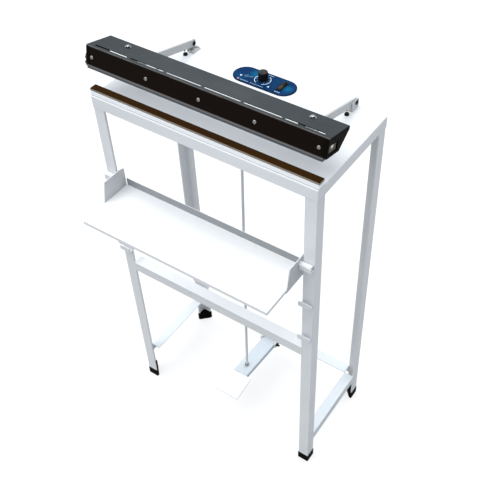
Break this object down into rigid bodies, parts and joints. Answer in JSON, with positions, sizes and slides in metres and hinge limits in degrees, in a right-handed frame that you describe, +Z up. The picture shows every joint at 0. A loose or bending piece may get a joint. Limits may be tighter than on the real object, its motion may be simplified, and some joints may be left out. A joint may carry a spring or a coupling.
{
  "type": "foot-pedal impulse heat sealer",
  "caption": "Foot-pedal impulse heat sealer: white angle-iron stand with table, hung work tray, sealing bar, hinged pressing jaw, pull rod, pedal and a small blue control plate.",
  "frame": {"origin": "on the floor, under the middle of the machine's outline seen from above, tray included (58 mm ahead of the table's middle)", "axes": "+X to the operator's right, +Y from the operator to the rear of the machine, +Z up"},
  "size_m": [0.5304, 0.3665, 1.0055],
  "materials": {
    "white_coat": "fine powder coat",
    "slate_coat": "satin coat on folded sheet",
    "arm_coat": "satin grey coat",
    "cap_plastic": "moulded",
    "black_plastic": "moulded",
    "rocker_brown": "moulded",
    "plunger_red": "moulded",
    "nylon": "natural nylon",
    "tan_strip": "phenolic laminate",
    "release_tape": "coated glass cloth",
    "element": "resistance alloy strip",
    "brass": "turned",
    "zinc_steel": "bright zinc plate",
    "rod_steel": "drawn bar",
    "black_steel": "black oxide",
    "spring_steel": "drawn wire",
    "aluminium": "mill finish extrusion",
    "silicone": "smooth silicone",
    "bumper_rubber": "smooth",
    "panel_blue": "printed plate",
    "lamp_red": "clear red lens",
    "core_steel": "varnished laminations",
    "coil_copper": "enamelled winding under tape",
    "board_green": "circuit board",
    "lead_red": "insulated wire"
  },
  "bodies": {
    "frame": {"table_top": "white_coat", "front_legs": "white_coat", "rear_legs": "white_coat", "foot_caps": "cap_plastic", "front_crossbar": "white_coat", "rear_rail": "white_coat", "side_rails": "white_coat", "hook_brackets": "white_coat", "lower_bar": "white_coat", "insulation_strip": "tan_strip", "heating_element": "element", "release_tape": "release_tape", "element_terminals": "brass", "terminal_sleeves": "nylon", "hinge_brackets": "arm_coat", "hinge_pins": "black_steel", "table_screws": "black_steel", "arm_bumpers": "bumper_rubber", "rod_bushes": "nylon", "start_switch": "black_plastic", "start_switch_bracket": "zinc_steel", "pedal_brackets": "white_coat", "pedal_bolt": "black_steel", "control_plate": "panel_blue", "timer_body": "black_plastic", "switch_housing": "black_plastic", "signal_lamp": "lamp_red", "control_box": "white_coat", "power_inlet": "black_plastic", "transformer_core": "core_steel", "transformer_coil": "coil_copper", "timer_board": "board_green", "heater_leads": "lead_red"},
    "jaw": {"jaw_cover": "slate_coat", "end_caps": "cap_plastic", "pressure_bar": "aluminium", "pressure_rubber": "silicone", "end_blocks": "aluminium", "end_screw": "black_steel", "cover_screws_front": "zinc_steel", "cover_screws_top": "zinc_steel", "jaw_brackets": "slate_coat", "jaw_bracket_bolts": "zinc_steel", "arm_left": "arm_coat", "arm_right": "arm_coat", "stop_screws": "black_steel"},
    "pedal": {"pedal_arm": "white_coat", "foot_plate": "white_coat"},
    "yoke": {"yoke_bar": "rod_steel", "tie_rods": "rod_steel", "tie_pins": "zinc_steel", "pull_rod": "rod_steel", "rod_nuts": "zinc_steel", "return_springs": "spring_steel"},
    "plunger": {"start_switch_plunger": "plunger_red"},
    "knob": {"timer_knob": "black_plastic"},
    "rocker": {"rocker": "rocker_brown"},
    "tray": {"tray_pan": "white_coat", "tray_ends": "white_coat", "tray_stiffeners": "white_coat"}
  },
  "joints": [
    {"name": "pedal_hinge", "type": "hinge", "parent": "frame", "child": "pedal", "pos_m": [0, 0.148, 0.08], "axis": [1, 0, 0], "range_deg": [0, 11]},
    {"name": "jaw_hinge", "type": "hinge", "parent": "frame", "child": "jaw", "pos_m": [0, 0.172, 0.92], "axis": [1, 0, 0], "range_deg": [0, 9.31]},
    {"name": "yoke_slide", "type": "slide", "parent": "frame", "child": "yoke", "axis": [0, 0, -1], "range_m": [0, 0.02063], "deforming": ["return_springs"]},
    {"name": "plunger_slide", "type": "slide", "parent": "frame", "child": "plunger", "axis": [0, 0, -1], "range_m": [0, 0.002]},
    {"name": "knob_turn", "type": "hinge", "parent": "frame", "child": "knob", "pos_m": [-0.0052, 0.155, 0.918], "axis": [0, 0, 1], "range_deg": [-135, 135]},
    {"name": "rocker_tilt", "type": "hinge", "parent": "frame", "child": "rocker", "pos_m": [0.0395, 0.1545, 0.9085], "axis": [-1, 0, 0], "range_deg": [0, 18]},
    {"name": "tray_lift", "type": "slide", "parent": "frame", "child": "tray", "axis": [0, 0, 1], "range_m": [0, 0.03]}
  ],
  "couplings": [
    {"joint": "jaw_hinge", "follows": "pedal_hinge", "ratio": 0.84545},
    {"joint": "yoke_slide", "follows": "pedal_hinge", "m_per_rad": 0.10691},
    {"joint": "plunger_slide", "follows": "pedal_hinge", "m_per_rad": 0.010417}
  ]
}
